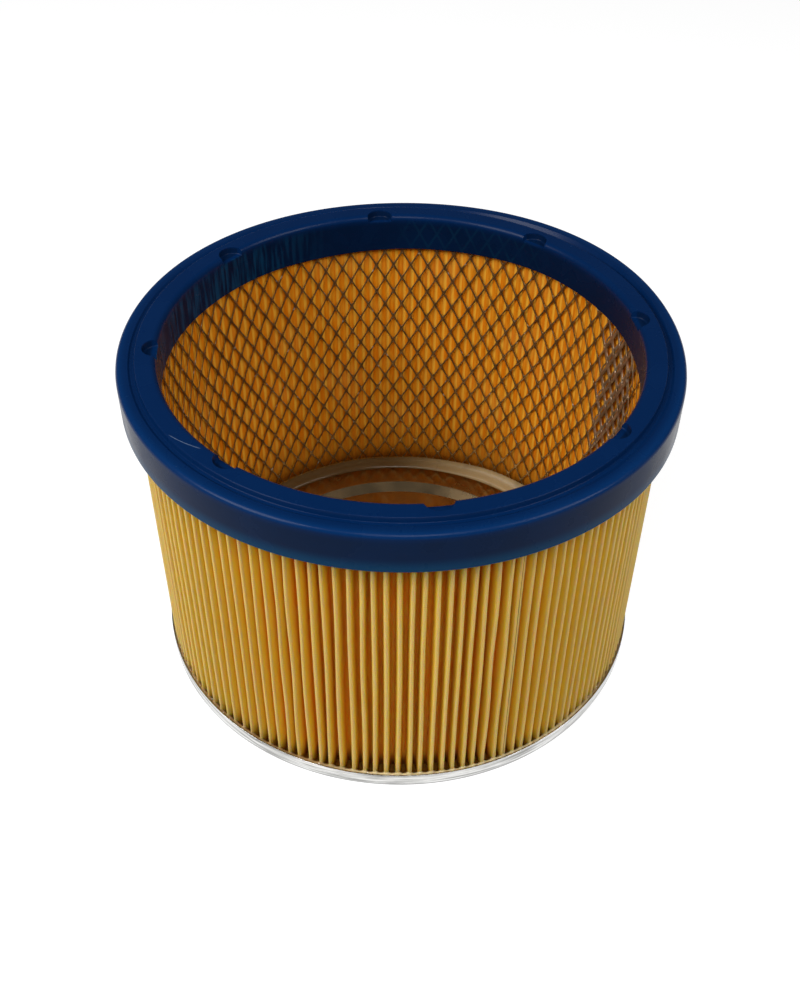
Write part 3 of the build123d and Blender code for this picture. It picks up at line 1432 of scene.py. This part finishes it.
@dataclass
class Studio:
    """Floor, lamps and the camera at the photograph's viewing angle."""

    lens: float = 42.75
    sensor: float = 36.0
    distance: float = 437.4 * MM
    elevation: float = math.radians(42.40)
    roll: float = math.radians(0.61)
    target: tuple[float, float, float] = (0.14 * MM, 0.0, 51.7 * MM)
    floor_size: float = 40.0

    def floor(self) -> bpy.types.Object:
        """Lays the floor.

        Returns:
            The floor.
        """
        bm = bmesh.new()
        bmesh.ops.create_grid(bm, x_segments=1, y_segments=1, size=self.floor_size)
        piece = new_piece("studio_floor", bm, FloorFinish().build())
        return piece

    def lamp(self, name: str, place: Vector, size: float, power: float) -> bpy.types.Object:
        """Square soft lamp that faces the object.

        Args:
            name: Name of the lamp.
            place: Where it hangs.
            size: Side of its face.
            power: Watts.

        Returns:
            The lamp.
        """
        light = bpy.data.lights.new(name, "AREA")
        light.shape = "SQUARE"
        light.size = size
        light.energy = power
        lamp = bpy.data.objects.new(name, light)
        lamp.location = place
        aim = Vector(self.target) - place
        lamp.rotation_euler = aim.to_track_quat("-Z", "Y").to_euler()
        bpy.context.scene.collection.objects.link(lamp)
        return lamp

    def world(self, strength: float) -> None:
        """Sets even grey surroundings.

        Args:
            strength: Strength of their light.
        """
        world = bpy.data.worlds.new("studio_world")
        world.use_nodes = True
        background = world.node_tree.nodes["Background"]
        background.inputs["Color"].default_value = rgb(1.0, 1.0, 1.0)
        background.inputs["Strength"].default_value = strength
        bpy.context.scene.world = world

    def camera(self) -> bpy.types.Object:
        """Places the camera where it sees the object as the photograph does.

        Returns:
            The camera.
        """
        data = bpy.data.cameras.new("photo_camera")
        data.lens = self.lens
        data.sensor_width = self.sensor
        data.clip_start = 0.01
        camera = bpy.data.objects.new("photo_camera", data)
        back = Vector((0, -math.cos(self.elevation), math.sin(self.elevation)))
        right = Vector((1, 0, 0))
        up = back.cross(right)
        side = right * math.cos(self.roll) + up * math.sin(self.roll)
        top = up * math.cos(self.roll) - right * math.sin(self.roll)
        turn = Matrix((side, top, back)).transposed().to_4x4()
        camera.matrix_world = Matrix.Translation(Vector(self.target) + back * self.distance) @ turn
        bpy.context.scene.collection.objects.link(camera)
        bpy.context.scene.camera = camera
        return camera

    def build(self) -> None:
        """Sets the whole studio."""
        bpy.context.scene.view_settings.view_transform = "Standard"
        self.floor()
        self.world(strength=0.09)
        self.lamp("soft_left", Vector((-0.72, -0.42, 0.85)), size=0.6, power=10.8)
        self.lamp("soft_right", Vector((0.75, -0.34, 0.80)), size=0.5, power=4.7)
        self.lamp("soft_front", Vector((0.05, -0.75, 1.05)), size=0.5, power=4.9)
        self.camera()


def main() -> None:
    """Builds each sub-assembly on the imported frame, then the studio."""
    logging.basicConfig(level=logging.INFO, format="%(message)s")
    ring_low, ring_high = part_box(Node.SEAL_RING.value)
    media_low, media_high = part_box(Node.MEDIA.value)
    mesh_low, mesh_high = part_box(Node.MESH.value)
    _, cap_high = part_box(Node.END_CAP.value)
    potting_low, potting_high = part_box(Node.POTTING.value)
    mounts = {mount["name"]: mount for mount in frame["record"]["mounts"]}
    bore_r = mounts["ring_bore"]["dims"]["r_mm"] * MM
    mesh_wall = 0.8 * MM
    mesh_trim = 0.5 * MM
    fit_gap = 0.1 * MM
    pleat_depth = 6.8 * MM
    dam_width = 5.1 * MM
    mesh_inner_r = mesh_high.x - mesh_wall
    dam_inner_r = mesh_inner_r - fit_gap - dam_width

    ring = SealRing(
        outer_r=ring_high.x, bore_r=bore_r, socket_inner_r=mesh_inner_r - fit_gap,
        socket_outer_r=media_high.x + fit_gap, top=ring_high.z, bottom=ring_low.z, socket_top=media_high.z,
    )
    ring.build()
    media = PleatedMedia(
        outer_r=media_high.x, inner_r=media_high.x - pleat_depth, bottom=media_low.z, top=media_high.z,
    )
    media.build()
    SupportMesh(
        middle_r=mesh_high.x - mesh_wall / 2, bottom=mesh_low.z + mesh_trim, top=mesh_high.z - mesh_trim,
    ).build()
    EndCap(outer_r=cap_high.x, rim_top=cap_high.z, bead_outer_r=dam_inner_r - fit_gap).build()
    PottingRing(
        inner_r=dam_inner_r, mesh_r=mesh_inner_r, outer_r=media_high.x, floor=potting_low.z,
        dam_top=potting_high.z, rim_top=cap_high.z, media=media,
    ).build()
    Studio().build()


if __name__ == "__main__":
    main()
